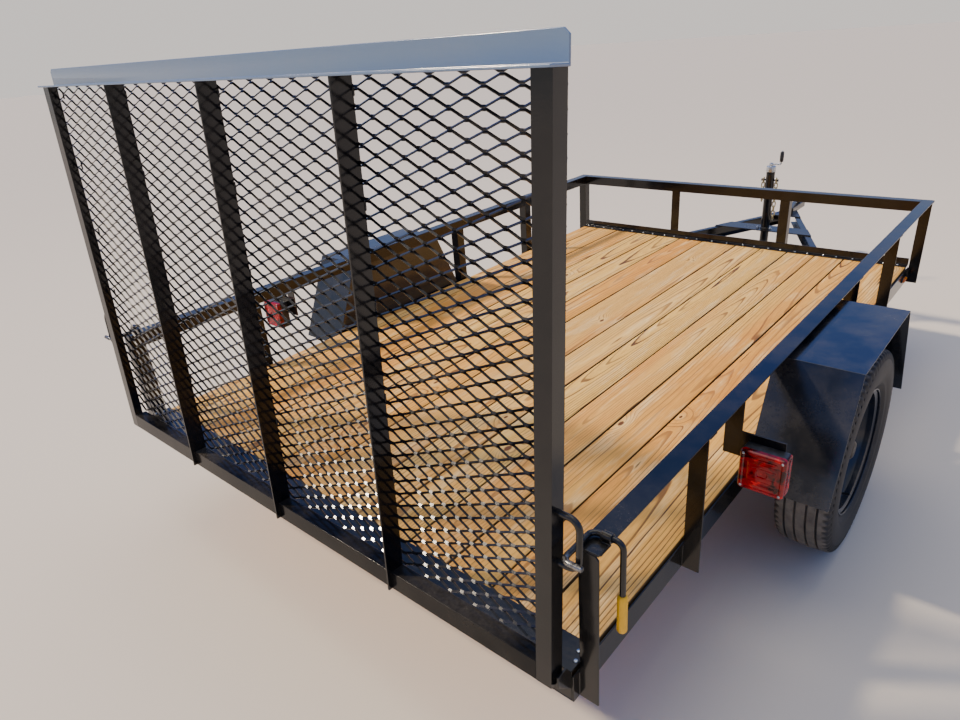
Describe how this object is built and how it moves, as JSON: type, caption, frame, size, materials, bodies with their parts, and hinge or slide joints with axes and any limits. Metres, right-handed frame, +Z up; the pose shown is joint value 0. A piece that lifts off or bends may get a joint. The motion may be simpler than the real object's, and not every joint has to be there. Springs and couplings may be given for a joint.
{
  "type": "utility trailer",
  "caption": "Open utility trailer with timber deck, angle-iron rails, folding mesh ramp gate, covered road wheels, A-frame tongue and screw jack.",
  "frame": {"origin": "centre of the bounding box, at the floor", "axes": "+Y forward to the hitch, +X to the trailer's right, +Z up"},
  "size_m": [2.392, 4.5131, 1.6609],
  "materials": {
    "gloss_black_paint": "gloss",
    "treated_pine": "sawn, weathered",
    "tyre_rubber": "matte",
    "dark_rim_paint": "satin",
    "zinc_plate": "satin",
    "bare_steel": "machined",
    "red_lens": "gloss",
    "amber_lens": "gloss",
    "black_housing": "satin",
    "yellow_grip": "dipped vinyl"
  },
  "bodies": {
    "chassis": {"deck_boards": "treated_pine", "frame_side_left": "gloss_black_paint", "frame_side_right": "gloss_black_paint", "frame_front": "gloss_black_paint", "frame_rear": "gloss_black_paint", "frame_crossmembers": "gloss_black_paint", "board_retainer": "gloss_black_paint", "tongue_arm_left": "gloss_black_paint", "tongue_arm_right": "gloss_black_paint", "coupler": "gloss_black_paint", "coupler_latch": "gloss_black_paint", "jack_plate": "gloss_black_paint", "jack_tube": "gloss_black_paint", "jack_crank": "zinc_plate", "rail_left": "gloss_black_paint", "rail_right": "gloss_black_paint", "rail_front": "gloss_black_paint", "posts_left": "gloss_black_paint", "posts_right": "gloss_black_paint", "posts_front": "gloss_black_paint", "fender_left": "gloss_black_paint", "fender_right": "gloss_black_paint", "tail_lamps": "black_housing", "tail_lenses": "red_lens", "lamp_brackets": "gloss_black_paint", "side_markers": "amber_lens", "axle_beam": "gloss_black_paint", "leaf_springs": "gloss_black_paint", "spring_hangers": "gloss_black_paint", "axle_ubolts": "zinc_plate", "latch_rods": "gloss_black_paint", "latch_grips": "yellow_grip", "gate_hinge_pins": "gloss_black_paint", "safety_chains": "zinc_plate"},
    "gate": {"gate_uprights": "gloss_black_paint", "gate_cap": "gloss_black_paint", "gate_rail": "gloss_black_paint", "gate_mesh": "gloss_black_paint", "gate_staples": "gloss_black_paint"},
    "jack_leg": {"jack_leg": "zinc_plate"},
    "wheel_left": {"tyre_left": "tyre_rubber", "rim_left": "dark_rim_paint", "hub_left": "bare_steel"},
    "wheel_right": {"tyre_right": "tyre_rubber", "rim_right": "dark_rim_paint", "hub_right": "bare_steel"}
  },
  "joints": [
    {"name": "gate_hinge", "type": "hinge", "parent": "chassis", "child": "gate", "pos_m": [0, -2.2184, 0.466], "axis": [1, 0, 0], "range_deg": [0, 115]},
    {"name": "jack_slide", "type": "slide", "parent": "chassis", "child": "jack_leg", "axis": [0, 0, 1], "range_m": [0, 0.2]},
    {"name": "wheel_spin_left", "type": "hinge", "parent": "chassis", "child": "wheel_left", "pos_m": [-1.103, -0.8434, 0.345], "axis": [1, 0, 0], "continuous": true},
    {"name": "wheel_spin_right", "type": "hinge", "parent": "chassis", "child": "wheel_right", "pos_m": [1.103, -0.8434, 0.345], "axis": [1, 0, 0], "continuous": true}
  ]
}
